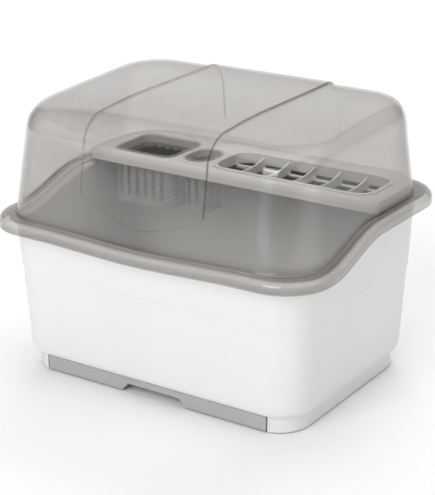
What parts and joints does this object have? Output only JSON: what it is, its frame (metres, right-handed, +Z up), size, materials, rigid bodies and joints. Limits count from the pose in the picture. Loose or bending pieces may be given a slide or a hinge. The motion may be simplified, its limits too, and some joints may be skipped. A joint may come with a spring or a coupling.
{
  "type": "two-tier dish rack",
  "caption": "Lidded dish box: tapered tub, domed see-through lid hinged at the back, upper shelf with cups and bowl insert, plate rack below, and a drip-tray drawer in the plinth.",
  "frame": {"origin": "middle of the overall box on the surface it stands on", "axes": "+X to the right seen from the drawer side, +Y to the hinges at the back, +Z up"},
  "size_m": [0.52, 0.415, 0.3984],
  "materials": {
    "white_plastic": "satin moulded polypropylene",
    "grey_plastic": "fine-textured moulding",
    "smoky_clear": "polished see-through plastic, smoky warm grey",
    "frosted_plastic": "frosted see-through plastic",
    "rubber": "matte",
    "steel": "plated"
  },
  "bodies": {
    "tub": {"tub": "white_plastic", "base_plinth": "white_plastic", "plinth_screws": "steel", "foot_pads": "rubber", "drain_grid": "white_plastic", "plate_rack_base": "white_plastic", "plate_pegs": "white_plastic", "upper_shelf": "white_plastic", "bowl_rack": "white_plastic", "cutlery_cup_large": "frosted_plastic", "cutlery_cup_small": "frosted_plastic", "hinge_bracket_left": "white_plastic", "hinge_bracket_right": "white_plastic", "hinge_pin_left": "steel", "hinge_pin_right": "steel"},
    "drawer": {"drip_tray": "grey_plastic"},
    "lid": {"lid_dome": "smoky_clear", "lid_hinge_left": "white_plastic", "lid_hinge_right": "white_plastic", "lid_hinge_rivets": "steel"}
  },
  "joints": [
    {"name": "lid_hinge", "type": "hinge", "parent": "tub", "child": "lid", "pos_m": [0, 0.2015, 0.238], "axis": [-1, 0, 0], "range_deg": [0, 100]},
    {"name": "drawer_slide", "type": "slide", "parent": "tub", "child": "drawer", "axis": [0, -1, 0], "range_m": [0, 0.22]}
  ]
}
